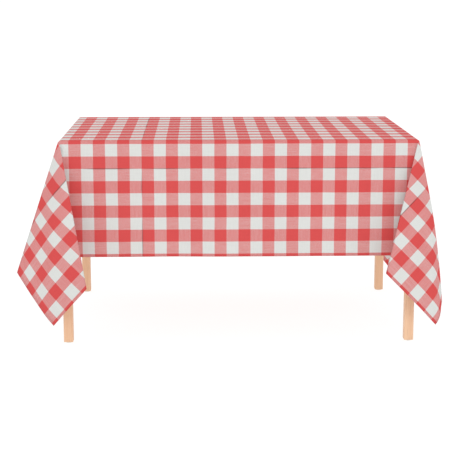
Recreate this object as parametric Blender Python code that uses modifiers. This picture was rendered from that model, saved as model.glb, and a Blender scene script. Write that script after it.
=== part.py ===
"""Dining table with a loose tablecloth.

Metres, +Z up. The front of the table looks along -Y and the floor is z = 0. The cloth hangs straight
down along the four edges, and at each corner it folds along straight lines that fan out from the table
corner. Only the outer fold is modelled: the spare cloth tucked behind it is left out.
"""

import math

import bmesh
import bpy
import numpy as np
from mathutils import Matrix, Vector

# Table
TABLE_LENGTH = 1.30
TABLE_DEPTH = 0.84
TABLE_HEIGHT = 0.75
TOP_THICKNESS = 0.022
TOP_ROUNDING = 0.008
LEG_SIZE = 0.034
LEG_INSET = 0.003
LEG_ROUNDING = 0.0015
RAIL_HEIGHT = 0.075
RAIL_THICKNESS = 0.018
RAIL_SET_BACK = 0.005
GLUE_GAP = 0.0003

# Corner blocks and the hanger bolts that pull the legs onto them
BLOCK_THICKNESS = 0.022
BLOCK_HEIGHT = 0.055
BLOCK_REACH = 0.062
BOLT_DIAMETER = 0.008
BOLT_IN_LEG = 0.024
BOLT_PAST_NUT = 0.005
BOLT_POINT = 0.004
BOLT_CHAMFER = 0.001
NUT_ACROSS_FLATS = 0.013
NUT_THICKNESS = 0.0065
WASHER_DIAMETER = 0.020
WASHER_THICKNESS = 0.0016
BORE_CLEARANCE = 0.0003

# Wood screws of the top clips
SCREW_DIAMETER = 0.004
SCREW_HEAD_DIAMETER = 0.008
SCREW_HEAD_HEIGHT = 0.0024
CLIP_SCREW_LENGTH = 0.014

# Z-shaped clips that hold the top down and let it move as it swells
CLIP_WIDTH = 0.018
CLIP_STRIP = 0.002
CLIP_TONGUE = 0.008
CLIP_FOOT = 0.022
CLIP_DROP = 0.014
CLIPS_ALONG_LENGTH = 3
CLIPS_ALONG_DEPTH = 1
CLIP_SPREAD = 1.2

# Foot glides
GLIDE_DIAMETER = 0.024
GLIDE_THICKNESS = 0.004
GLIDE_PIN_DIAMETER = 0.004
GLIDE_PIN_LENGTH = 0.014
GLIDE_CHAMFER = 0.002

# Tablecloth
CLOTH_THICKNESS = 0.0008
CLOTH_GAP = 0.0005
DROP_FRONT_BACK = 0.43
DROP_LEFT = 0.48
DROP_RIGHT = 0.515

# The fold at a corner, as the way the cloth hangs at some of the lines that fan out from that corner.
# Each entry is the line's angle in the flat cloth, in degrees from the long side's drop to the end's
# drop, and its lean in radians from straight down: outward past the end, outward past the long side.
WIDE_FOLD = (
    (0, 0.0, 0.0),
    (34, -0.196, 0.269),
    (42, -0.067, 0.238),
    (51, 0.071, 0.169),
    (61, 0.203, 0.054),
    (71, 0.328, -0.068),
    (90, 0.0, 0.0),
)
NARROW_FOLD = (
    (0, 0.0, 0.0),
    (29, -0.258, 0.228),
    (37, -0.128, 0.210),
    (45, 0.011, 0.177),
    (53, 0.131, 0.123),
    (59, 0.209, 0.044),
    (90, 0.0, 0.0),
)
# How much the woven cloth gives on the bias at a corner, where its whole fold hangs from one point
WIDE_GIVE = 0.0236
NARROW_GIVE = 0.0077
FOLD_SOFTNESS = 4.0
LINES_PER_CORNER = 30
STATIONS_PER_EDGE = 3
BEND_STEPS = 4
DROP_RINGS = (0.06, 0.15, 1.0)
THIN_REACH = 0.09
THINNEST = 0.12

CYLINDER_SIDES = 20

COLOURS = {
    "beech": ((0.80, 0.52, 0.33), 0.50, 0.0),
    "plywood": ((0.72, 0.55, 0.38), 0.60, 0.0),
    "steel": ((0.62, 0.62, 0.64), 0.32, 1.0),
    "nylon": ((0.86, 0.85, 0.82), 0.45, 0.0),
    "cotton": ((0.75, 0.20, 0.20), 0.90, 0.0),
}

END_X = TABLE_LENGTH / 2
SIDE_Y = TABLE_DEPTH / 2
UNDERSIDE = TABLE_HEIGHT - TOP_THICKNESS
LEG_X = END_X - LEG_INSET - LEG_SIZE / 2
LEG_Y = SIDE_Y - LEG_INSET - LEG_SIZE / 2
LEG_TOP = UNDERSIDE - GLUE_GAP
RAIL_TOP = UNDERSIDE - GLUE_GAP
RAIL_MIDDLE = RAIL_TOP - RAIL_HEIGHT / 2
RAIL_X = END_X - LEG_INSET - RAIL_SET_BACK - RAIL_THICKNESS / 2
RAIL_Y = SIDE_Y - LEG_INSET - RAIL_SET_BACK - RAIL_THICKNESS / 2
CLOTH_TOP = TABLE_HEIGHT + CLOTH_GAP + CLOTH_THICKNESS
CLOTH_BEND = (TOP_ROUNDING + CLOTH_GAP + CLOTH_THICKNESS) * math.pi / 2
CORNERS = {
    "front_left": (-1, -1),
    "front_right": (1, -1),
    "back_right": (1, 1),
    "back_left": (-1, 1),
}


def clear_scene():
    for obj in list(bpy.data.objects):
        bpy.data.objects.remove(obj)
    for collection in list(bpy.data.collections):
        bpy.data.collections.remove(collection)


def make_collection(name, hidden=False):
    collection = bpy.data.collections.new(name)
    bpy.context.scene.collection.children.link(collection)
    collection.hide_render = hidden
    return collection


def make_material(name, finish):
    colour, roughness, metallic = COLOURS[finish]
    material = bpy.data.materials.new(name)
    material.use_nodes = True
    shader = material.node_tree.nodes["Principled BSDF"]
    shader.inputs["Base Color"].default_value = (*colour, 1.0)
    shader.inputs["Roughness"].default_value = roughness
    shader.inputs["Metallic"].default_value = metallic
    material.diffuse_color = (*colour, 1.0)
    return material


def add_object(name, mesh_builder, finish, collection):
    """Makes one mesh object; mesh_builder fills the bmesh."""
    shape = bmesh.new()
    mesh_builder(shape)
    bmesh.ops.recalc_face_normals(shape, faces=shape.faces[:])
    mesh = bpy.data.meshes.new(name)
    shape.to_mesh(mesh)
    shape.free()
    obj = bpy.data.objects.new(name, mesh)
    if finish:
        mesh.materials.append(make_material(name, finish))
    collection.objects.link(obj)
    return obj


def box(shape, size):
    bmesh.ops.create_cube(shape, size=1.0, matrix=Matrix.Diagonal((*size, 1.0)))


def cylinder(shape, diameter, length, middle, sides=CYLINDER_SIDES):
    """A cylinder along local Z with its middle at that height."""
    bmesh.ops.create_cone(
        shape,
        cap_ends=True,
        segments=sides,
        radius1=diameter / 2,
        radius2=diameter / 2,
        depth=length,
        matrix=Matrix.Translation((0.0, 0.0, middle)),
    )


def turned(shape, profile, sides=CYLINDER_SIDES):
    """Joins (radius, height) points round local Z; the profile starts and ends on the axis."""
    points = [shape.verts.new((radius, 0.0, height)) for radius, height in profile]
    edges = [shape.edges.new(pair) for pair in zip(points, points[1:])]
    bmesh.ops.spin(
        shape,
        geom=points + edges,
        axis=(0.0, 0.0, 1.0),
        cent=(0.0, 0.0, 0.0),
        steps=sides,
        angle=2 * math.pi,
        use_merge=True,
    )
    bmesh.ops.remove_doubles(shape, verts=shape.verts[:], dist=1e-6)


def round_edges(obj, width, segments=2):
    bevel = obj.modifiers.new("Rounding", "BEVEL")
    bevel.width = width
    bevel.segments = segments
    bevel.limit_method = "ANGLE"
    bevel.angle_limit = math.radians(40)


def cut(obj, name, mesh_builder, placement, cutters):
    cutter = add_object(name, mesh_builder, None, cutters)
    cutter.matrix_world = placement
    cutter.display_type = "WIRE"
    boolean = obj.modifiers.new(name, "BOOLEAN")
    boolean.operation = "DIFFERENCE"
    boolean.solver = "EXACT"
    boolean.object = cutter


def axis_frame(origin, direction):
    """A placement whose local Z runs along the direction."""
    turn = Vector(direction).to_track_quat("Z", "Y").to_matrix().to_4x4()
    return Matrix.Translation(origin) @ turn


# --- Table ----------------------------------------------------------------------------------------


def make_tabletop(parts, cutters):
    def slab(shape):
        box(shape, (TABLE_LENGTH, TABLE_DEPTH, TOP_THICKNESS))

    top = add_object("tabletop", slab, "beech", parts)
    top.location = (0.0, 0.0, TABLE_HEIGHT - TOP_THICKNESS / 2)
    for index, (origin, _) in enumerate(clip_places()):
        pilot = SCREW_DIAMETER + 2 * BORE_CLEARANCE
        depth = CLIP_SCREW_LENGTH + BORE_CLEARANCE

        def hole(shape, pilot=pilot, depth=depth):
            cylinder(shape, pilot, 2 * depth, 0.0)

        place = Matrix.Translation((origin[0], origin[1], UNDERSIDE))
        cut(top, f"top_pilot_cutter_{index + 1}", hole, place, cutters)
    round_edges(top, TOP_ROUNDING, 4)
    top.modifiers.move(len(top.modifiers) - 1, 0)


def bolt_line(corner):
    """Origin on the leg's axis and the inward diagonal direction of the hanger bolt."""
    sx, sy = CORNERS[corner]
    origin = Vector((sx * LEG_X, sy * LEG_Y, RAIL_MIDDLE))
    return origin, Vector((-sx, -sy, 0.0)).normalized()


def bolt_start():
    """Where the bolt's buried end lies along the bolt line, from the leg's axis."""
    return LEG_SIZE / math.sqrt(2) - BOLT_IN_LEG


def block_distance():
    """How far along the bolt line, from the leg's axis, the outer face of a corner block lies."""
    rail_face = RAIL_SET_BACK + RAIL_THICKNESS - LEG_SIZE / 2
    return (2 * (rail_face + GLUE_GAP) + BLOCK_REACH) / math.sqrt(2)


def make_legs(parts, cutters):
    for corner, (sx, sy) in CORNERS.items():

        def post(shape):
            box(shape, (LEG_SIZE, LEG_SIZE, LEG_TOP - GLIDE_THICKNESS - GLUE_GAP))

        def bolt_hole(shape):
            blind_end = bolt_start() - BORE_CLEARANCE
            cylinder(shape, BOLT_DIAMETER + 2 * BORE_CLEARANCE, LEG_SIZE, blind_end + LEG_SIZE / 2)

        def pin_hole(shape):
            depth = GLIDE_PIN_LENGTH + GLUE_GAP + BORE_CLEARANCE
            cylinder(shape, GLIDE_PIN_DIAMETER + 2 * BORE_CLEARANCE, 2 * depth, 0.0)

        foot = GLIDE_THICKNESS + GLUE_GAP
        leg = add_object(f"leg_{corner}", post, "beech", parts)
        leg.location = (sx * LEG_X, sy * LEG_Y, (LEG_TOP + foot) / 2)
        round_edges(leg, LEG_ROUNDING)
        origin, inward = bolt_line(corner)
        cut(leg, f"bolt_cutter_{corner}", bolt_hole, axis_frame(origin, inward), cutters)
        foot_centre = Matrix.Translation((sx * LEG_X, sy * LEG_Y, foot))
        cut(leg, f"pin_cutter_{corner}", pin_hole, foot_centre, cutters)


def make_glides(parts):
    half = GLIDE_DIAMETER / 2
    pin = GLIDE_PIN_DIAMETER / 2
    profile = (
        (0.0, 0.0),
        (half - GLIDE_CHAMFER, 0.0),
        (half, GLIDE_CHAMFER),
        (half, GLIDE_THICKNESS),
        (pin, GLIDE_THICKNESS),
        (pin, GLIDE_THICKNESS + GLIDE_PIN_LENGTH - pin),
        (0.0, GLIDE_THICKNESS + GLIDE_PIN_LENGTH),
    )
    for corner, (sx, sy) in CORNERS.items():
        glide = add_object(f"glide_{corner}", lambda shape: turned(shape, profile), "nylon", parts)
        glide.location = (sx * LEG_X, sy * LEG_Y, 0.0)


def make_rail(name, length, thickness_axis, centre, clips, parts, cutters):
    size = (length, RAIL_THICKNESS, RAIL_HEIGHT)
    if thickness_axis == "x":
        size = (RAIL_THICKNESS, length, RAIL_HEIGHT)
    rail = add_object(name, lambda shape: box(shape, size), "beech", parts)
    rail.location = (*centre, RAIL_MIDDLE)
    round_edges(rail, LEG_ROUNDING)
    for index, (origin, outward) in enumerate(clips):
        slot_depth = CLIP_TONGUE + BORE_CLEARANCE
        slot_height = CLIP_STRIP + 2 * BORE_CLEARANCE
        slot_width = CLIP_WIDTH + 2 * BORE_CLEARANCE

        def slot(shape, depth=slot_depth, width=slot_width, height=slot_height):
            box(shape, (width, 2 * depth, height))

        place = clip_frame(origin, outward)
        mouth = Matrix.Translation((0.0, CLIP_FOOT, -CLIP_DROP + CLIP_STRIP / 2))
        cut(rail, f"slot_cutter_{name}_{index + 1}", slot, place @ mouth, cutters)


def make_rails(parts, cutters):
    along = 2 * (LEG_X - LEG_SIZE / 2 - GLUE_GAP)
    across = 2 * (LEG_Y - LEG_SIZE / 2 - GLUE_GAP)
    places = clip_places()
    for name, sy in (("rail_front", -1), ("rail_back", 1)):
        mine = [clip for clip in places if clip[1] == (0, sy)]
        make_rail(name, along, "y", (0.0, sy * RAIL_Y), mine, parts, cutters)
    for name, sx in (("rail_left", -1), ("rail_right", 1)):
        mine = [clip for clip in places if clip[1] == (sx, 0)]
        make_rail(name, across, "x", (sx * RAIL_X, 0.0), mine, parts, cutters)


# --- Corner blocks, bolts and screws --------------------------------------------------------------


def make_corner_blocks(parts, cutters):
    """A block across each corner, its ends cut to lie flat against the two rails."""
    near = block_distance()
    reach = BLOCK_REACH / math.sqrt(2)
    for corner in CORNERS:
        origin, inward = bolt_line(corner)

        def wedge(shape):
            half = BLOCK_HEIGHT / 2
            outline = ((-reach, 0.0), (reach, 0.0), (reach + BLOCK_THICKNESS, BLOCK_THICKNESS))
            outline += ((-reach - BLOCK_THICKNESS, BLOCK_THICKNESS),)
            base = shape.faces.new([shape.verts.new((x, -half, z)) for x, z in outline])
            moved = bmesh.ops.extrude_face_region(shape, geom=[base])["geom"]
            points = [item for item in moved if isinstance(item, bmesh.types.BMVert)]
            bmesh.ops.translate(shape, vec=(0.0, BLOCK_HEIGHT, 0.0), verts=points)

        def bore(shape):
            cylinder(shape, BOLT_DIAMETER + 2 * BORE_CLEARANCE, 3 * BLOCK_THICKNESS, 0.0)

        side = Vector((0.0, 0.0, 1.0)).cross(inward)
        turn = Matrix((side, Vector((0.0, 0.0, 1.0)), inward)).transposed().to_4x4()
        block = add_object(f"corner_block_{corner}", wedge, "plywood", parts)
        outer_face = origin + inward * near
        block.matrix_world = Matrix.Translation(outer_face) @ turn
        cut(block, f"block_bore_cutter_{corner}", bore, axis_frame(outer_face, inward), cutters)


def make_bolts(parts):
    near = block_distance()
    seat = near + BLOCK_THICKNESS + GLUE_GAP
    nut_seat = seat + WASHER_THICKNESS + GLUE_GAP
    bolt_end = nut_seat + NUT_THICKNESS + BOLT_PAST_NUT
    shank = BOLT_DIAMETER / 2
    tip = bolt_start()
    bolt_profile = (
        (0.0, tip),
        (shank / 2, tip),
        (shank, tip + BOLT_POINT),
        (shank, bolt_end - BOLT_CHAMFER),
        (shank - BOLT_CHAMFER, bolt_end),
        (0.0, bolt_end),
    )
    nut_radius = NUT_ACROSS_FLATS / math.sqrt(3)
    for corner in CORNERS:
        origin, inward = bolt_line(corner)
        name = f"hanger_bolt_{corner}"
        bolt = add_object(name, lambda shape: turned(shape, bolt_profile), "steel", parts)
        bolt.matrix_world = axis_frame(origin, inward)
        washer = make_ring(f"washer_{corner}", WASHER_DIAMETER / 2, WASHER_THICKNESS, CYLINDER_SIDES, parts)
        washer.matrix_world = axis_frame(origin + inward * seat, inward)
        nut = make_ring(f"nut_{corner}", nut_radius, NUT_THICKNESS, 6, parts)
        nut.matrix_world = axis_frame(origin + inward * nut_seat, inward)


def make_ring(name, radius, thickness, sides, parts):
    """A flat ring that a hanger bolt passes through, standing on local z = 0."""
    bore = BOLT_DIAMETER / 2 + BORE_CLEARANCE

    def plate(shape):
        outer = bmesh.ops.create_circle(shape, segments=sides, radius=radius)["verts"]
        inner = bmesh.ops.create_circle(shape, segments=CYLINDER_SIDES, radius=bore)["verts"]
        rims = {edge for point in outer + inner for edge in point.link_edges}
        filled = bmesh.ops.triangle_fill(shape, edges=list(rims), use_beauty=True)["geom"]
        faces = [item for item in filled if isinstance(item, bmesh.types.BMFace)]
        moved = bmesh.ops.extrude_face_region(shape, geom=faces)["geom"]
        points = [item for item in moved if isinstance(item, bmesh.types.BMVert)]
        bmesh.ops.translate(shape, vec=(0.0, 0.0, thickness), verts=points)

    return add_object(name, plate, "steel", parts)


# --- Clips that hold the top down -----------------------------------------------------------------


def clip_places():
    """(foot centre on the underside, outward direction of the rail) for each clip."""
    places = []
    inner_y = RAIL_Y - RAIL_THICKNESS / 2
    inner_x = RAIL_X - RAIL_THICKNESS / 2
    for step in range(CLIPS_ALONG_LENGTH):
        x = CLIP_SPREAD * TABLE_LENGTH * ((step + 1) / (CLIPS_ALONG_LENGTH + 1) - 0.5)
        places.append(((x, -inner_y + CLIP_FOOT), (0, -1)))
        places.append(((x, inner_y - CLIP_FOOT), (0, 1)))
    for step in range(CLIPS_ALONG_DEPTH):
        y = TABLE_DEPTH * ((step + 1) / (CLIPS_ALONG_DEPTH + 1) - 0.5)
        places.append(((-inner_x + CLIP_FOOT, y), (-1, 0)))
        places.append(((inner_x - CLIP_FOOT, y), (1, 0)))
    return places


def clip_frame(origin, outward):
    """Local +Y runs towards the rail, and z = 0 is the underside of the top."""
    angle = math.atan2(outward[1], outward[0]) - math.pi / 2
    return Matrix.Translation((*origin, UNDERSIDE)) @ Matrix.Rotation(angle, 4, "Z")


def make_clips(parts, cutters):
    screw_bore = SCREW_DIAMETER / 2 + BORE_CLEARANCE
    for index, (origin, outward) in enumerate(clip_places()):

        def strip(shape):
            """A Z profile across the width: foot under the top, web, and tongue in the rail's slot."""
            low = -CLIP_DROP
            outline = (
                (-CLIP_WIDTH / 2, -GLUE_GAP),
                (CLIP_FOOT - CLIP_TONGUE / 2, -GLUE_GAP),
                (CLIP_FOOT - CLIP_TONGUE / 2, low + CLIP_STRIP),
                (CLIP_FOOT + CLIP_TONGUE, low + CLIP_STRIP),
                (CLIP_FOOT + CLIP_TONGUE, low),
                (CLIP_FOOT - CLIP_TONGUE / 2 - CLIP_STRIP, low),
                (CLIP_FOOT - CLIP_TONGUE / 2 - CLIP_STRIP, -GLUE_GAP - CLIP_STRIP),
                (-CLIP_WIDTH / 2, -GLUE_GAP - CLIP_STRIP),
            )
            base = shape.faces.new([shape.verts.new((-CLIP_WIDTH / 2, y, z)) for y, z in outline])
            moved = bmesh.ops.extrude_face_region(shape, geom=[base])["geom"]
            points = [item for item in moved if isinstance(item, bmesh.types.BMVert)]
            bmesh.ops.translate(shape, vec=(CLIP_WIDTH, 0.0, 0.0), verts=points)

        def bore(shape):
            cylinder(shape, 2 * screw_bore, 3 * CLIP_STRIP, -CLIP_STRIP / 2)

        clip = add_object(f"top_clip_{index + 1}", strip, "steel", parts)
        place = clip_frame(origin, outward)
        clip.matrix_world = place
        cut(clip, f"clip_bore_cutter_{index + 1}", bore, place, cutters)


def screw_profile(length):
    """A round-headed screw along local Z: the shank runs up from the head's seat at zero."""
    shank = SCREW_DIAMETER / 2
    head = SCREW_HEAD_DIAMETER / 2
    return (
        (0.0, -SCREW_HEAD_HEIGHT),
        (head * 0.6, -SCREW_HEAD_HEIGHT),
        (head, -SCREW_HEAD_HEIGHT * 0.35),
        (head, 0.0),
        (shank, 0.0),
        (shank, length - 2 * shank),
        (0.0, length),
    )


def make_clip_screws(parts):
    seat = UNDERSIDE - GLUE_GAP - CLIP_STRIP - GLUE_GAP
    profile = screw_profile(CLIP_SCREW_LENGTH)
    for index, (origin, _) in enumerate(clip_places()):
        name = f"clip_screw_{index + 1}"
        screw = add_object(name, lambda shape: turned(shape, profile), "steel", parts)
        screw.location = (*origin, seat)


# --- Tablecloth -----------------------------------------------------------------------------------


def hanging_direction(fold, angle):
    """(out, forward, down) unit direction of the line at that angle; the fold's creases are softened."""
    marks, outs, forwards = (np.array(column) for column in zip(*fold))
    reach = min(FOLD_SOFTNESS, angle, 90.0 - angle)
    spread = angle + reach * np.linspace(-1.0, 1.0, 9)
    out = float(np.interp(spread, marks, outs).mean())
    forward = float(np.interp(spread, marks, forwards).mean())
    lean = math.hypot(out, forward)
    across = math.sin(lean) / lean if lean else 1.0
    return np.array((out * across, forward * across, -math.cos(lean)))


def line_angles(fold, tip):
    """Angles of the lines at one corner, in degrees: evenly spread, with one on the cloth's own corner."""
    angles = np.linspace(0.0, 90.0, LINES_PER_CORNER + 1)
    for mark in [entry[0] for entry in fold[1:-1]] + [tip]:
        angles[np.argmin(np.abs(angles - mark))] = mark
    return angles


def cloth_point(start, level, hanging, distance):
    """Where the cloth is, that distance from the table edge: it bends from level to hanging."""
    angle = math.acos(max(-1.0, min(1.0, float(level @ hanging))))
    part = min(distance / CLOTH_BEND, 1.0)
    size = CLOTH_BEND / (angle * math.sin(angle))
    bent = level * (math.cos((1 - part) * angle) - math.cos(angle)) + hanging * (1 - math.cos(part * angle))
    return start + size * bent + hanging * max(0.0, distance - CLOTH_BEND)


def cloth_lines():
    """(start, level direction, hanging direction, length) of each line from the edge down to the hem."""
    half_x = END_X - TOP_ROUNDING
    half_y = SIDE_Y - TOP_ROUNDING
    down = np.array((0.0, 0.0, -1.0))
    corners = []
    for sx, sy in CORNERS.values():
        fold, give = (WIDE_FOLD, WIDE_GIVE) if sx == sy else (NARROW_FOLD, NARROW_GIVE)
        end_drop = DROP_LEFT if sx < 0 else DROP_RIGHT
        start = np.array((sx * half_x, sy * half_y, CLOTH_TOP))
        tip = math.degrees(math.atan2(end_drop, DROP_FRONT_BACK))
        mine = []
        for angle in line_angles(fold, tip):
            hanging = hanging_direction(fold, angle) * (sx, sy, 1)
            across, ahead = math.sin(math.radians(angle)), math.cos(math.radians(angle))
            level = np.array((sx * across, sy * ahead, 0.0))
            length = DROP_FRONT_BACK / ahead if angle <= tip else end_drop / across
            mine.append((start, level, hanging, length + give * 2 * ahead * across))
        corners.append(mine if sx * sy < 0 else mine[::-1])
    # Walk round the table: each corner's lines, then the stations along the edge to the next corner.
    walk = []
    for index, mine in enumerate(corners):
        walk += mine
        following = corners[(index + 1) % len(corners)]
        for step in range(1, STATIONS_PER_EDGE + 1):
            blend = step / (STATIONS_PER_EDGE + 1)
            start = mine[-1][0] * (1 - blend) + following[0][0] * blend
            level = mine[-1][1]
            walk.append((start, level, down, mine[-1][3]))
    return walk


def make_tablecloth(parts):
    """One closed sheet. Where the folds meet at a table corner it thins, so that they don't cross."""
    walk = cloth_lines()
    bend = [CLOTH_BEND * step / BEND_STEPS for step in range(BEND_STEPS + 1)]
    shares = []

    def sheet(shape):
        rows = [[(line, distance) for line in walk] for distance in bend]
        for share in DROP_RINGS:
            rows.append([(line, CLOTH_BEND + share * (line[3] - CLOTH_BEND)) for line in walk])
        made = []
        known = {}
        for row in rows:
            ring_points = []
            for (start, level, hanging, _), distance in row:
                point = cloth_point(start, level, hanging, distance)
                key = tuple(round(float(value), 6) for value in point)
                if key not in known:
                    known[key] = shape.verts.new(point)
                    straight = abs(hanging[2]) > 0.9999
                    shares.append(1.0 if straight else min(1.0, max(THINNEST, distance / THIN_REACH)))
                ring_points.append(known[key])
            made.append(ring_points)
        for upper, lower in zip(made, made[1:]):
            for index in range(len(walk)):
                after = (index + 1) % len(walk)
                loop = dict.fromkeys((upper[index], upper[after], lower[after], lower[index]))
                shape.faces.new(list(loop))
        shape.faces.new(list(dict.fromkeys(made[0])))

    cloth = add_object("tablecloth", sheet, "cotton", parts)
    group = cloth.vertex_groups.new(name="thickness")
    for index, share in enumerate(shares):
        group.add([index], share, "REPLACE")
    thicken = cloth.modifiers.new("Thickness", "SOLIDIFY")
    thicken.thickness = CLOTH_THICKNESS
    thicken.offset = -1.0
    thicken.vertex_group = group.name


def centre_on_origin(parts):
    """Slides everything so that the box round the whole object stands on the origin."""
    bpy.context.view_layer.update()
    graph = bpy.context.evaluated_depsgraph_get()
    cloth = parts.objects["tablecloth"].evaluated_get(graph)
    corners = [cloth.matrix_world @ Vector(corner) for corner in cloth.bound_box]
    for axis in (0, 1):
        values = [corner[axis] for corner in corners]
        middle = (max(values) + min(values)) / 2
        for obj in bpy.data.objects:
            obj.location[axis] -= middle
    bpy.context.view_layer.update()


def main():
    clear_scene()
    parts = make_collection("table_with_tablecloth")
    cutters = make_collection("cutters", hidden=True)
    make_tabletop(parts, cutters)
    make_legs(parts, cutters)
    make_glides(parts)
    make_rails(parts, cutters)
    make_corner_blocks(parts, cutters)
    make_bolts(parts)
    make_clips(parts, cutters)
    make_clip_screws(parts)
    make_tablecloth(parts)
    centre_on_origin(parts)


main()
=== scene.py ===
"""Looks for a table under a red and white gingham tablecloth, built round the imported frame. Metres, +Z up."""

import math
from collections import namedtuple

import bmesh
import bpy
import numpy as np
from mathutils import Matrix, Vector


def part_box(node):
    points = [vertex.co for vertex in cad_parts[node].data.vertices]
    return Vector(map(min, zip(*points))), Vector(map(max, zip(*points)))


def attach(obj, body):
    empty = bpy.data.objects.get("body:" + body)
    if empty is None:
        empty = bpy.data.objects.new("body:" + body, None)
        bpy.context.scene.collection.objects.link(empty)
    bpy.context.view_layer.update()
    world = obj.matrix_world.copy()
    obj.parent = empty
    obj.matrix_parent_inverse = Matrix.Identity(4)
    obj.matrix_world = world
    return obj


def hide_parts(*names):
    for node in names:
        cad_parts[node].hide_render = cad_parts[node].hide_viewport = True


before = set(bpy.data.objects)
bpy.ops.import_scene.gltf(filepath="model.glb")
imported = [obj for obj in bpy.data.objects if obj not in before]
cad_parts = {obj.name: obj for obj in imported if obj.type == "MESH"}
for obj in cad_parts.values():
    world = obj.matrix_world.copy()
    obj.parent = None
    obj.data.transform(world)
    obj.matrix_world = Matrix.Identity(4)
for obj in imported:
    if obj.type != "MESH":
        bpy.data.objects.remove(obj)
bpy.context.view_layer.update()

# --- Sizes ----------------------------------------------------------------------------------------

# The same values as the CAD cloth. A drop is measured in the flat cloth, from where the edge's bend starts.
CLOTH_THICKNESS = 0.0008
CLOTH_GAP = 0.0005
TOP_ROUNDING = 0.008
DROP_FRONT_BACK = 0.43
DROP_LEFT = 0.48
DROP_RIGHT = 0.515
BEND = (TOP_ROUNDING + CLOTH_GAP + CLOTH_THICKNESS) * math.pi / 2

# The folds, as a route for the hanging direction of the cloth round each corner: leans in radians from
# straight down, outward past the end of the table and outward past its long side. The first points of
# each route are the spare cloth tucked behind the outer fold, which the CAD cloth leaves out.
WIDE_FOLD = (
    (-0.1153, 0.0413),
    (0.0763, 0.0633),
    (-0.2111, 0.2763),
    (-0.0664, 0.2393),
    (0.0719, 0.1711),
    (0.2032, 0.0541),
    (0.3425, -0.0753),
)
NARROW_FOLD = (
    (-0.0641, 0.0496),
    (0.0637, 0.0762),
    (-0.2751, 0.2331),
    (-0.1276, 0.2111),
    (0.0113, 0.1785),
    (0.1325, 0.1254),
    (0.2241, 0.0373),
    (0.0114, 0.0488),
    (0.1427, -0.1204),
)
FOLD_SOFTNESS = 0.05
ROUTE_SAMPLES = 900
ROUTE_SCALES = (0.2, 4.0)
ROUTE_HALVINGS = 40
TINY = 1e-12

# How far the cloth gives on the bias, where it hangs from a table corner, and within what length
WIDE_GIVE = 0.0236
NARROW_GIVE = 0.0077
GIVE_REACH = 0.15
WIDE = (WIDE_FOLD, WIDE_GIVE)
NARROW = (NARROW_FOLD, NARROW_GIVE)
CORNERS = {(-1, -1): WIDE, (1, -1): NARROW, (1, 1): WIDE, (-1, 1): NARROW}

# Where the lower part of a fold swings sideways, by corner: the turning angles in degrees where that
# starts, is greatest and ends, and how far the hem swings out (in, where negative). The swing starts at
# this share of the way down.
SWINGS = {(1, -1): (50.0, 59.5, 76.0, -0.029), (1, 1): (8.0, 34.0, 46.0, 0.055)}
NO_SWING = (0.0, 45.0, 90.0, 0.0)
SWING_FROM = 0.4
SWING_CURVE = 1.6

# The straight drops stand out a little more towards the hem, in waves of (frequency, phase, share)
WAVE_HEIGHT = 0.0028
WAVES = ((7.3, 0.6, 1.0), (13.1, 2.2, 0.6), (23.7, 4.1, 0.35))
WAVE_CURVE = 1.4
WAVE_ENDS = 0.7
WAVE_FADE = 6

LINES_PER_CORNER = 88
EDGE_STEP = 0.017
BEND_ROWS = 6
DROP_ROWS = 26

SHEET_THICKNESS = 0.0006
HEM_WIDTH = 0.012
HEM_STEPS = (1.0, 0.66, 0.33, 0.0)
HEM_SETBACK = 0.0006
HEM_CLEARANCE = 0.00015
HEM_OFFSET = -(1.5 * SHEET_THICKNESS + HEM_CLEARANCE)
STITCH_LINE = 0.0095
STITCH_PITCH = 0.0042
STITCH_LENGTH = 0.0030
STITCH_WIDTH = 0.0007
STITCH_HEIGHT = 0.0004
# Rings along a stitch: how far from its middle and how wide, as shares of the whole half
STITCH_RINGS = ((-1.0, 0.5), (-0.6, 1.0), (0.6, 1.0), (1.0, 0.5))

# Gingham, in the flat cloth: sizes of a check, and where a red column and a white row start, measured
# from the left end and from the front edge of the tabletop
CHECK_X = 0.0436
CHECK_Y = 0.0447
FIRST_COLUMN = 0.0365
FIRST_ROW = 0.0085
YARN_PITCH = 0.00109
YARN_DRIFT = 0.0009
WHITE_SHOWS = 1.6
FOLD_CREASES_X = (0.298, 1.432)
FOLD_CREASES_Y = (-0.098, 0.354)
# Creases: the half-width of the ridge in the bump, the widths over which the fine line of painted shade is full
# and then gone, and how dark that painted shade makes the cloth
CREASE_RIDGE = 0.007
PAINTED_CREASE_SHADE_WIDTHS = (0.0008, 0.0026)
CREASE_SHADE = 0.45

RED_YARN = (0.654, 0.084, 0.083, 1.0)
WHITE_YARN = (0.681, 0.690, 0.668, 1.0)
THREAD = ((0.80, 0.16, 0.15, 1.0), (0.62, 0.10, 0.10, 1.0))
LIGHT_WOOD = ((0.874, 0.585, 0.385, 1.0), (0.795, 0.490, 0.303, 1.0))
BLOCK_WOOD = ((0.66, 0.47, 0.29, 1.0), (0.50, 0.33, 0.19, 1.0))
STEEL = ((0.60, 0.61, 0.63, 1.0), (0.50, 0.50, 0.49, 1.0))
NYLON = ((0.80, 0.79, 0.76, 1.0), (0.70, 0.69, 0.66, 1.0))

# Wood grain, in features per metre, how much coarser its slow tone is, and how much finer its pores
GRAIN_ALONG = 2.2
GRAIN_ACROSS = 95.0
TONE_COARSER = 7.0
PORES_FINER = 9.0
PORE_SHADE = 0.55

FLOOR_SIZE = 150.0
FLOOR_SHADE = (0.20, 0.20, 0.20, 1.0)
FLOOR_GLOW = 0.885
WHITE = (1.0, 1.0, 1.0, 1.0)
SKY_STRENGTH = 0.96
KEY_PLACE = (0.5, -4.9, 3.6)
KEY_TARGET = (0.0, 0.0, 0.4)
KEY_SIZE = 1.4
KEY_POWER = 37.0
CAMERA_PLACE = (-0.1555, -5.0439, 1.3132)
CAMERA_DOWN = 10.88
CAMERA_TURN = -1.438
CAMERA_LENS = 101.26
SENSOR_WIDTH = 36.0
CLIP_END = 200.0

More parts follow.
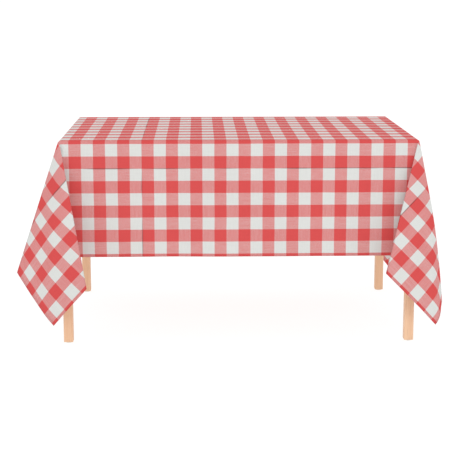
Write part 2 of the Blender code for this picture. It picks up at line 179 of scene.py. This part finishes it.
top_low, top_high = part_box("tabletop")
MIDDLE = Vector(((top_low.x + top_high.x) / 2, (top_low.y + top_high.y) / 2, 0.0))
HALF_X = (top_high.x - top_low.x) / 2 - TOP_ROUNDING
HALF_Y = (top_high.y - top_low.y) / 2 - TOP_ROUNDING
CLOTH_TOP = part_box("tablecloth")[1].z

# One line from the table's edge down to the hem: where it starts, its level and hanging directions, its
# length in the flat cloth, its share of the way along a straight edge (0 at a corner), its give on the
# bias and its swing in x
Line = namedtuple("Line", "start level hanging length share give swing")


# --- How the cloth hangs --------------------------------------------------------------------------


def eased(share):
    share = min(max(0.0, share), 1.0)
    return share * share * (3 - 2 * share)


def travelled(points):
    return np.concatenate([[0.0], np.cumsum(np.linalg.norm(np.diff(points, axis=0), axis=1))])


def hanging_directions(fold):
    """(turning angles, unit directions) along a fold's route: out, forward and up.

    The route is the fold's points joined and softened, wrapped onto the unit sphere and scaled until its
    length is a quarter turn, so that flat cloth reaches it by folding alone.
    """
    points = np.array([(0.0, 0.0), *fold, (0.0, 0.0)])
    marks = travelled(points)
    even = np.linspace(0.0, marks[-1], ROUTE_SAMPLES)
    route = np.column_stack([np.interp(even, marks, points[:, axis]) for axis in (0, 1)])
    half = int(FOLD_SOFTNESS / marks[-1] * ROUTE_SAMPLES) // 2
    window = np.ones(2 * half + 1) / (2 * half + 1)
    for _ in range(2):
        padded = np.vstack([-route[half:0:-1], route, -route[-2 : -half - 2 : -1]])
        route = np.column_stack([np.convolve(padded[:, axis], window, "valid") for axis in (0, 1)])
    low, high = ROUTE_SCALES
    for _ in range(ROUTE_HALVINGS):
        scale = (low + high) / 2
        lean = np.linalg.norm(route * scale, axis=1) + TINY
        directions = np.column_stack([route * scale * (np.sin(lean) / lean)[:, None], -np.cos(lean)])
        if travelled(directions)[-1] < math.pi / 2:
            low = scale
        else:
            high = scale
    turns = travelled(directions)
    return turns * (math.pi / 2 / turns[-1]), directions


def corner_lines(sx, sy):
    """The lines that fan out from one table corner."""
    fold, give = CORNERS[sx, sy]
    turns, directions = hanging_directions(fold)
    end_drop = DROP_LEFT if sx < 0 else DROP_RIGHT
    tip = math.atan2(end_drop, DROP_FRONT_BACK)
    angles = np.linspace(0.0, math.pi / 2, LINES_PER_CORNER + 1)
    angles[np.argmin(np.abs(angles - tip))] = tip
    start = np.array((MIDDLE.x + sx * HALF_X, MIDDLE.y + sy * HALF_Y, CLOTH_TOP))
    swing_start, swing_most, swing_end, swing_out = SWINGS.get((sx, sy), NO_SWING)
    lines = []
    for angle in angles:
        hanging = np.array([np.interp(angle, turns, directions[:, axis]) for axis in range(3)])
        hanging *= (sx, sy, 1.0) / np.linalg.norm(hanging)
        level = np.array((sx * math.sin(angle), sy * math.cos(angle), 0.0))
        length = DROP_FRONT_BACK / math.cos(angle) if angle <= tip else end_drop / math.sin(angle)
        degrees = math.degrees(angle)
        swing = swing_out * eased((degrees - swing_start) / (swing_most - swing_start))
        swing *= 1 - eased((degrees - swing_most) / (swing_end - swing_most))
        lines.append(Line(start, level, hanging, length, 0.0, give * math.sin(2 * angle), sx * swing))
    return lines if sx * sy < 0 else lines[::-1]


def walk_round():
    """Every line from the table's edge to the hem, in order round the table."""
    corners = [corner_lines(sx, sy) for sx, sy in CORNERS]
    down = np.array((0.0, 0.0, -1.0))
    walk = []
    for index, lines in enumerate(corners):
        walk += lines
        following = corners[(index + 1) % len(corners)]
        first, last = lines[-1].start, following[0].start
        count = round(np.linalg.norm(last - first) / EDGE_STEP)
        for step in range(1, count):
            share = step / count
            start = first * (1 - share) + last * share
            walk.append(Line(start, lines[-1].level, down, lines[-1].length, share, 0.0, 0.0))
    return walk


def soft_wave(place, share):
    """A slow in-and-out wave of a straight drop, nothing at its two ends."""
    window = math.sin(math.pi * share) ** WAVE_ENDS if share else 0.0
    return window * sum(part * math.sin(often * place + phase) for often, phase, part in WAVES)


def cloth_point(line, distance):
    """Where the cloth is, that distance along a line: it bends from level to hanging over the edge."""
    start, level, hanging, length, share, give, swing = line
    angle = math.acos(max(-1.0, min(1.0, float(level @ hanging))))
    part = min(distance / BEND, 1.0)
    size = BEND / (angle * math.sin(angle))
    bent = level * (math.cos((1 - part) * angle) - math.cos(angle))
    bent = bent + hanging * (1 - math.cos(part * angle))
    past_bend = max(0.0, distance - BEND)
    point = start + size * bent + hanging * (past_bend + give * eased((distance - BEND) / GIVE_REACH))
    point[0] += swing * max(0.0, (distance / length - SWING_FROM) / (1 - SWING_FROM)) ** SWING_CURVE
    if share:
        along = start[0] * abs(level[1]) + start[1] * abs(level[0])
        swell = WAVE_HEIGHT * (1 + soft_wave(along, share)) * (past_bend / length) ** WAVE_CURVE
        point = point + level * swell * min(1.0, WAVE_FADE * share * (1 - share))
    return point


def flat_point(line, distance):
    """The same point in the flat cloth, with the middle of the tabletop at the origin."""
    start, level = line.start, line.level
    return start[0] - MIDDLE.x + level[0] * distance, start[1] - MIDDLE.y + level[1] * distance


def outward(walk, index, above_hem):
    """The cloth's outward unit normal on one line, that far above the hem."""
    before, after = walk[index - 1], walk[(index + 1) % len(walk)]
    sideways = cloth_point(after, after.length - above_hem) - cloth_point(before, before.length - above_hem)
    normal = np.cross(walk[index].hanging, sideways)
    return normal / (np.linalg.norm(normal) + TINY)


# --- Meshes ---------------------------------------------------------------------------------------


def mesh_object(name, shape):
    mesh = bpy.data.meshes.new(name)
    shape.to_mesh(mesh)
    shape.free()
    mesh.shade_smooth()
    obj = bpy.data.objects.new(name, mesh)
    bpy.context.scene.collection.objects.link(obj)
    return obj


def thicken(obj, offset):
    modifier = obj.modifiers.new("Thickness", "SOLIDIFY")
    modifier.thickness = SHEET_THICKNESS
    modifier.offset = offset


def add_face(shape, flat, corners):
    """A face from (vertex, flat-cloth point) pairs. A vertex that comes twice counts once."""
    vertices = [vertex for vertex, _ in corners]
    kept = [corner for place, corner in enumerate(corners) if corner[0] not in vertices[:place]]
    if len(kept) < 3:
        return
    face = shape.faces.new([vertex for vertex, _ in kept])
    for loop, (_, uv) in zip(face.loops, kept):
        loop[flat].uv = uv


def join_columns(shape, flat, columns):
    """Faces from each column to the next, all the way round."""
    for index, column in enumerate(columns):
        after = columns[(index + 1) % len(columns)]
        for row in range(len(column) - 1):
            add_face(shape, flat, (column[row], after[row], after[row + 1], column[row + 1]))


def row_distances(line):
    """Distances down a line: through the bend, then evenly to the hem."""
    bend = [BEND * step / BEND_ROWS for step in range(BEND_ROWS + 1)]
    drop = [BEND + (line.length - BEND) * step / DROP_ROWS for step in range(1, DROP_ROWS + 1)]
    return bend + drop


def make_tablecloth(walk):
    """One continuous sheet: the flat top and all the hanging cloth."""
    shape = bmesh.new()
    flat = shape.loops.layers.uv.new("flat")
    columns = []
    edge = {}
    for line in walk:
        key = tuple(np.round(line.start, 6))
        if key not in edge:
            edge[key] = shape.verts.new(cloth_point(line, 0.0))
        column = [(edge[key], flat_point(line, 0.0))]
        for distance in row_distances(line)[1:]:
            column.append((shape.verts.new(cloth_point(line, distance)), flat_point(line, distance)))
        columns.append(column)
    join_columns(shape, flat, columns)
    fill_top(shape, flat, edge)
    bmesh.ops.recalc_face_normals(shape, faces=shape.faces[:])
    cloth = mesh_object("tablecloth_sheet", shape)
    thicken(cloth, -1.0)
    return cloth


def fill_top(shape, flat, edge):
    """A grid of faces across the tabletop that meets the stations along its edges."""
    xs = sorted({key[0] for key in edge})
    ys = sorted({key[1] for key in edge})
    grid = {}
    for x in xs:
        for y in ys:
            key = (x, y, round(CLOTH_TOP, 6))
            on_edge = x in (xs[0], xs[-1]) or y in (ys[0], ys[-1])
            vertex = edge[key] if on_edge and key in edge else shape.verts.new((x, y, CLOTH_TOP))
            grid[x, y] = (vertex, (x - MIDDLE.x, y - MIDDLE.y))
    for x, next_x in zip(xs, xs[1:]):
        for y, next_y in zip(ys, ys[1:]):
            add_face(shape, flat, (grid[x, y], grid[next_x, y], grid[next_x, next_y], grid[x, next_y]))


def make_hem(walk):
    """The turned-in edge: a second layer behind the last few millimetres of the sheet."""
    shape = bmesh.new()
    flat = shape.loops.layers.uv.new("flat")
    columns = []
    for index, line in enumerate(walk):
        column = []
        for step in HEM_STEPS:
            distance = line.length - HEM_SETBACK - step * HEM_WIDTH
            place = cloth_point(line, distance) + outward(walk, index, step * HEM_WIDTH) * HEM_OFFSET
            column.append((shape.verts.new(place), flat_point(line, distance)))
        columns.append(column)
    join_columns(shape, flat, columns)
    hem = mesh_object("tablecloth_hem", shape)
    thicken(hem, 0.0)
    return hem


def add_stitch(shape, middle, along, up):
    """A short closed bar, narrower at its ends."""
    half_length = along * STITCH_LENGTH / 2
    half_width = up.cross(along).normalized() * STITCH_WIDTH / 2
    half_height = up * STITCH_HEIGHT / 2
    rings = [
        [
            shape.verts.new(middle + end * half_length + side * narrow * half_width + level * half_height)
            for side in (-1, 1)
            for level in (-1, 1)
        ]
        for end, narrow in STITCH_RINGS
    ]
    for low, high in zip(rings, rings[1:]):
        for one, two in ((0, 1), (1, 3), (3, 2), (2, 0)):
            shape.faces.new((low[one], low[two], high[two], high[one]))
    for end in (rings[0], rings[-1]):
        shape.faces.new((end[0], end[1], end[3], end[2]))


def make_stitching(walk):
    """The row of stitches that holds the hem, on the outer face."""
    places = []
    for index, line in enumerate(walk):
        places.append((cloth_point(line, line.length - STITCH_LINE), outward(walk, index, STITCH_LINE)))
    places.append(places[0])
    marks = travelled(np.array([here for here, _ in places]))
    count = int(marks[-1] / STITCH_PITCH)
    shape = bmesh.new()
    for step in range(count):
        distance = (step + 0.5) * marks[-1] / count
        index = int(np.searchsorted(marks, distance)) - 1
        share = (distance - marks[index]) / (marks[index + 1] - marks[index])
        (first, first_normal), (second, second_normal) = places[index], places[index + 1]
        middle = Vector(first * (1 - share) + second * share)
        up = Vector(first_normal * (1 - share) + second_normal * share).normalized()
        add_stitch(shape, middle, Vector(second - first).normalized(), up)
    bmesh.ops.recalc_face_normals(shape, faces=shape.faces[:])
    return mesh_object("hem_stitching", shape)


# --- Materials ------------------------------------------------------------------------------------


class Nodes:
    """Short calls for building one material's node tree."""

    def __init__(self, name):
        self.material = bpy.data.materials.new(name)
        self.material.use_nodes = True
        self.tree = self.material.node_tree
        self.shader = self.tree.nodes["Principled BSDF"]

    def add(self, kind, **settings):
        node = self.tree.nodes.new(kind)
        for key, value in settings.items():
            setattr(node, key, value)
        return node

    def link(self, source, target):
        self.tree.links.new(source, target)

    def feed(self, socket, value):
        if isinstance(value, bpy.types.NodeSocket):
            self.link(value, socket)
        else:
            socket.default_value = value

    def place(self):
        return self.add("ShaderNodeTexCoord").outputs["Object"]

    def math(self, operation, *values, clamp=False):
        node = self.add("ShaderNodeMath", operation=operation, use_clamp=clamp)
        for socket, value in zip(node.inputs, values):
            self.feed(socket, value)
        return node.outputs[0]

    def mix(self, share, first, second, blend="MIX"):
        node = self.add("ShaderNodeMix", data_type="RGBA", blend_type=blend)
        self.feed(node.inputs[0], share)
        self.feed(node.inputs[6], first)
        self.feed(node.inputs[7], second)
        return node.outputs[2]

    def grey(self, value):
        node = self.add("ShaderNodeCombineColor")
        for socket in node.inputs:
            self.link(value, socket)
        return node.outputs[0]

    def noise(self, place, scale, detail=2.0, roughness=0.5):
        node = self.add("ShaderNodeTexNoise")
        self.link(place, node.inputs["Vector"])
        node.inputs["Scale"].default_value = scale
        node.inputs["Detail"].default_value = detail
        node.inputs["Roughness"].default_value = roughness
        return node.outputs[0]

    def stretched(self, place, scale):
        node = self.add("ShaderNodeMapping")
        self.link(place, node.inputs["Vector"])
        node.inputs["Scale"].default_value = scale
        return node.outputs[0]

    def remap(self, value, low, high, to_low, to_high):
        node = self.add("ShaderNodeMapRange")
        for socket, number in zip(node.inputs, (value, low, high, to_low, to_high)):
            self.feed(socket, number)
        return node.outputs[0]

    def bump(self, height, distance, strength=1.0, under=None):
        node = self.add("ShaderNodeBump")
        node.inputs["Strength"].default_value = strength
        node.inputs["Distance"].default_value = distance
        self.link(height, node.inputs["Height"])
        if under is not None:
            self.link(under, node.inputs["Normal"])
        return node.outputs[0]

    def finish(self, colour, roughness, normal=None, **constants):
        self.feed(self.shader.inputs["Base Color"], colour)
        self.feed(self.shader.inputs["Roughness"], roughness)
        if normal is not None:
            self.link(normal, self.shader.inputs["Normal"])
        for name, value in constants.items():
            socket = name.replace("_", " ").title().replace("Ior", "IOR")
            self.shader.inputs[socket].default_value = value
        return self.material


def make_gingham():
    """Red and white yarns crossing: red over red, white over white, and pink where they mix."""
    n = Nodes("gingham_cotton")
    uv = n.add("ShaderNodeUVMap", uv_map="flat").outputs[0]
    parts = n.add("ShaderNodeSeparateXYZ")
    n.link(uv, parts.inputs[0])
    # The yarns wander a little, so that the edges of the checks aren't ruled lines.
    x_drift = n.remap(n.noise(uv, 11.0), 0.0, 1.0, -YARN_DRIFT, YARN_DRIFT)
    y_drift = n.remap(n.noise(uv, 8.0), 0.0, 1.0, -YARN_DRIFT, YARN_DRIFT)
    x = n.math("ADD", parts.outputs[0], x_drift)
    y = n.math("ADD", parts.outputs[1], y_drift)
    column = n.math("DIVIDE", n.math("ADD", x, HALF_X + TOP_ROUNDING - FIRST_COLUMN), 2 * CHECK_X)
    row = n.math("DIVIDE", n.math("ADD", y, HALF_Y + TOP_ROUNDING + FIRST_ROW), 2 * CHECK_Y)
    warp_white = n.math("GREATER_THAN", n.math("FRACT", column), 0.5)
    weft_white = n.math("GREATER_THAN", n.math("FRACT", row), 0.5)

    # Plain weave: the warp lies on top where the two waves have the same sign.
    turn = math.pi / YARN_PITCH
    across = n.math("SINE", n.math("MULTIPLY", x, turn))
    along = n.math("SINE", n.math("MULTIPLY", y, turn))
    weave = n.math("MULTIPLY", across, along)
    warp_top = n.remap(weave, -0.4, 0.4, 0.34, 0.66)
    weft_top = n.math("SUBTRACT", 1.0, warp_top)

    # Each yarn is thicker in some stretches than in others.
    warp_slub = n.noise(n.stretched(uv, (360.0, 14.0, 1.0)), 1.0, 3.0, 0.6)
    weft_slub = n.noise(n.stretched(uv, (14.0, 360.0, 1.0)), 1.0, 3.0, 0.6)
    slubs = n.math("ADD", warp_slub, weft_slub)
    warp_seen = n.math("MULTIPLY", warp_top, n.remap(warp_slub, 0.25, 0.75, 0.78, 1.02))
    weft_seen = n.math("MULTIPLY", weft_top, n.remap(weft_slub, 0.25, 0.75, 0.85, 1.15))
    warp_share = n.math("MULTIPLY", warp_white, warp_seen)
    weft_share = n.math("MULTIPLY", weft_white, weft_seen)
    mixed = n.math("POWER", n.math("ADD", warp_share, weft_share), WHITE_SHOWS)
    white = n.math("MAXIMUM", mixed, n.math("MULTIPLY", warp_white, weft_white))
    colour = n.mix(n.math("MINIMUM", white, 1.0), RED_YARN, WHITE_YARN)

    # Painted light and shade along single yarns, painted shade in the gaps between them, and slow unevenness of
    # the dye
    yarns = n.remap(slubs, 0.7, 1.3, 0.965, 1.035)
    painted_gap_shade = n.remap(n.math("ABSOLUTE", weave), 0.0, 0.3, 0.94, 1.01)
    dye = n.remap(n.noise(uv, 4.0, 3.0), 0.3, 0.7, 0.985, 1.015)
    # Painted light and shade of the yarns and gaps, times the uneven dye
    tone = n.math("MULTIPLY", n.math("MULTIPLY", yarns, painted_gap_shade), dye)

    # Creases from storage: a ridge in the bump with a fine line of painted shade along it, sharper in some
    # places than in others
    patchy = n.remap(n.noise(uv, 5.5, 1.0), 0.44, 0.60, 0.12, 1.0)
    ridge = 0.0
    line = 0.0
    for axis, half, creases in ((x, HALF_X, FOLD_CREASES_X), (y, HALF_Y, FOLD_CREASES_Y)):
        for crease in creases:
            away = n.math("ABSOLUTE", n.math("ADD", axis, half + TOP_ROUNDING - crease))
            ridge = n.math("ADD", ridge, n.remap(away, 0.0, CREASE_RIDGE, 1.0, 0.0))
            line = n.math("ADD", line, n.remap(away, *PAINTED_CREASE_SHADE_WIDTHS, 1.0, 0.0))
    line = n.math("MULTIPLY", line, patchy, clamp=True)
    # Painted shade: the colour is darker along the fine line in each crease, down to CREASE_SHADE times
    tone = n.math("MULTIPLY", tone, n.remap(line, 0.0, 1.0, 1.0, CREASE_SHADE))
    colour = n.mix(1.0, colour, n.grey(tone), "MULTIPLY")

    fine = n.math("ADD", n.math("MULTIPLY", n.math("ABSOLUTE", weave), 0.7), slubs)
    weave_bump = n.bump(fine, 0.00025, 0.5)
    crumple = n.math("MULTIPLY", n.noise(n.stretched(uv, (5.0, 7.0, 1.0)), 1.0, 4.0, 0.55), 1.4)
    crease_height = n.math("MULTIPLY", n.math("MULTIPLY", ridge, patchy), 0.5)
    normal = n.bump(n.math("ADD", crumple, crease_height), 0.0022, 0.7, weave_bump)
    rough = n.remap(warp_slub, 0.3, 0.7, 0.84, 0.96)
    sheen = {"sheen_weight": 0.015, "sheen_roughness": 0.4}
    return n.finish(colour, rough, normal, specular_ior_level=0.03, **sheen)


def make_wood(name, colours, grain_axis, pore_strength=0.5):
    """Straight-grained wood: growth bands, short pores and a soft satin finish."""
    light, dark = colours
    n = Nodes(name)
    place = n.place()
    along = [GRAIN_ALONG if axis == grain_axis else GRAIN_ACROSS for axis in "xyz"]
    bands = n.noise(n.stretched(place, along), 1.0, 4.0, 0.6)
    broad = n.noise(n.stretched(place, [value / TONE_COARSER for value in along]), 1.0, 2.0)
    pores = n.noise(n.stretched(place, [value * PORES_FINER for value in along]), 1.0, 1.0)
    mixed = n.math("ADD", n.math("MULTIPLY", bands, 0.65), n.math("MULTIPLY", broad, 0.35))
    colour = n.mix(n.remap(mixed, 0.34, 0.66, 0.0, 1.0), light, dark)
    pore = n.remap(pores, 0.62, 0.74, 0.0, pore_strength)
    colour = n.mix(pore, colour, [value * PORE_SHADE for value in dark[:3]] + [1.0])
    height = n.math("SUBTRACT", n.math("MULTIPLY", bands, 0.5), n.math("MULTIPLY", pore, 1.2))
    rough = n.remap(bands, 0.3, 0.7, 0.40, 0.56)
    return n.finish(colour, rough, n.bump(height, 0.00035, 0.5), specular_ior_level=0.3)


def make_steel():
    n = Nodes("zinc_steel")
    place = n.place()
    blotch = n.noise(place, 240.0, 3.0)
    colour = n.mix(n.remap(blotch, 0.35, 0.65, 0.0, 1.0), *STEEL)
    rough = n.remap(blotch, 0.3, 0.7, 0.26, 0.46)
    return n.finish(colour, rough, n.bump(n.noise(place, 900.0, 2.0), 0.00008, 0.5), metallic=1.0)


def make_grained(name, colours, scale, detail, smoothest, roughest):
    """A plain finish with a fine grain, for the nylon and the thread."""
    n = Nodes(name)
    grain = n.noise(n.place(), scale, detail)
    rough = n.remap(grain, 0.3, 0.7, smoothest, roughest)
    return n.finish(n.mix(grain, *colours), rough, n.bump(grain, 0.0001, 0.5))


def set_material(obj, material):
    if not obj.material_slots:
        obj.data.materials.append(material)
    for slot in obj.material_slots:
        slot.material = material


def dress_frame():
    """Gives every CAD node its finish, with the grain along each piece of wood."""
    upright = make_wood("light_wood_upright", LIGHT_WOOD, "z")
    lengthwise = make_wood("light_wood_length", LIGHT_WOOD, "x")
    crosswise = make_wood("light_wood_cross", LIGHT_WOOD, "y")
    blocks = make_wood("block_wood", BLOCK_WOOD, "z", 0.7)
    steel = make_steel()
    nylon = make_grained("glide_nylon", NYLON, 700.0, 3.0, 0.38, 0.55)
    for name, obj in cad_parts.items():
        if name.startswith("leg_"):
            set_material(obj, upright)
        elif name in ("rail_left", "rail_right"):
            set_material(obj, crosswise)
        elif name.startswith(("rail_", "tabletop")):
            set_material(obj, lengthwise)
        elif name.startswith("corner_block"):
            set_material(obj, blocks)
        elif name.startswith("glide"):
            set_material(obj, nylon)
        elif name != "tablecloth":
            set_material(obj, steel)


# --- Studio ---------------------------------------------------------------------------------------


def make_floor():
    """A pale floor that also gives off light, so that it stays near white beside the table."""
    shape = bmesh.new()
    bmesh.ops.create_grid(shape, x_segments=2, y_segments=2, size=FLOOR_SIZE)
    floor = mesh_object("studio_floor", shape)
    n = Nodes("studio_floor")
    soft = n.remap(n.noise(n.place(), 0.7, 2.0), 0.3, 0.7, 0.985, 1.0)
    colour = n.mix(1.0, n.grey(soft), FLOOR_SHADE, "MULTIPLY")
    set_material(floor, n.finish(colour, 0.9, specular_ior_level=0.0))
    n.shader.inputs["Emission Color"].default_value = WHITE
    n.shader.inputs["Emission Strength"].default_value = FLOOR_GLOW


def make_sky():
    world = bpy.data.worlds.new("studio")
    world.use_nodes = True
    sky = world.node_tree.nodes["Background"]
    sky.inputs["Color"].default_value = WHITE
    sky.inputs["Strength"].default_value = SKY_STRENGTH
    bpy.context.scene.world = world


def make_key_light():
    lamp = bpy.data.lights.new("key", "AREA")
    lamp.shape = "DISK"
    lamp.size = KEY_SIZE
    lamp.energy = KEY_POWER
    key = bpy.data.objects.new("key", lamp)
    key.location = KEY_PLACE
    key.rotation_euler = (Vector(KEY_TARGET) - Vector(KEY_PLACE)).to_track_quat("-Z", "Y").to_euler()
    bpy.context.scene.collection.objects.link(key)


def make_camera():
    camera_data = bpy.data.cameras.new("camera")
    camera_data.lens = CAMERA_LENS
    camera_data.sensor_width = SENSOR_WIDTH
    camera_data.clip_end = CLIP_END
    camera = bpy.data.objects.new("camera", camera_data)
    camera.location = CAMERA_PLACE
    camera.rotation_euler = (math.radians(90.0 - CAMERA_DOWN), 0.0, math.radians(CAMERA_TURN))
    bpy.context.scene.collection.objects.link(camera)
    bpy.context.scene.camera = camera


# --- Put it together ------------------------------------------------------------------------------


def main():
    dress_frame()
    walk = walk_round()
    gingham = make_gingham()
    cloth = make_tablecloth(walk)
    set_material(cloth, gingham)
    hem = make_hem(walk)
    set_material(hem, gingham)
    stitching = make_stitching(walk)
    set_material(stitching, make_grained("hem_thread", THREAD, 1500.0, 2.0, 0.6, 0.8))
    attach(cloth, "cloth")
    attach(hem, "cloth")
    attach(stitching, "cloth")
    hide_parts("tablecloth")
    make_floor()
    make_sky()
    make_key_light()
    make_camera()
    bpy.context.scene.view_settings.view_transform = "Standard"


main()
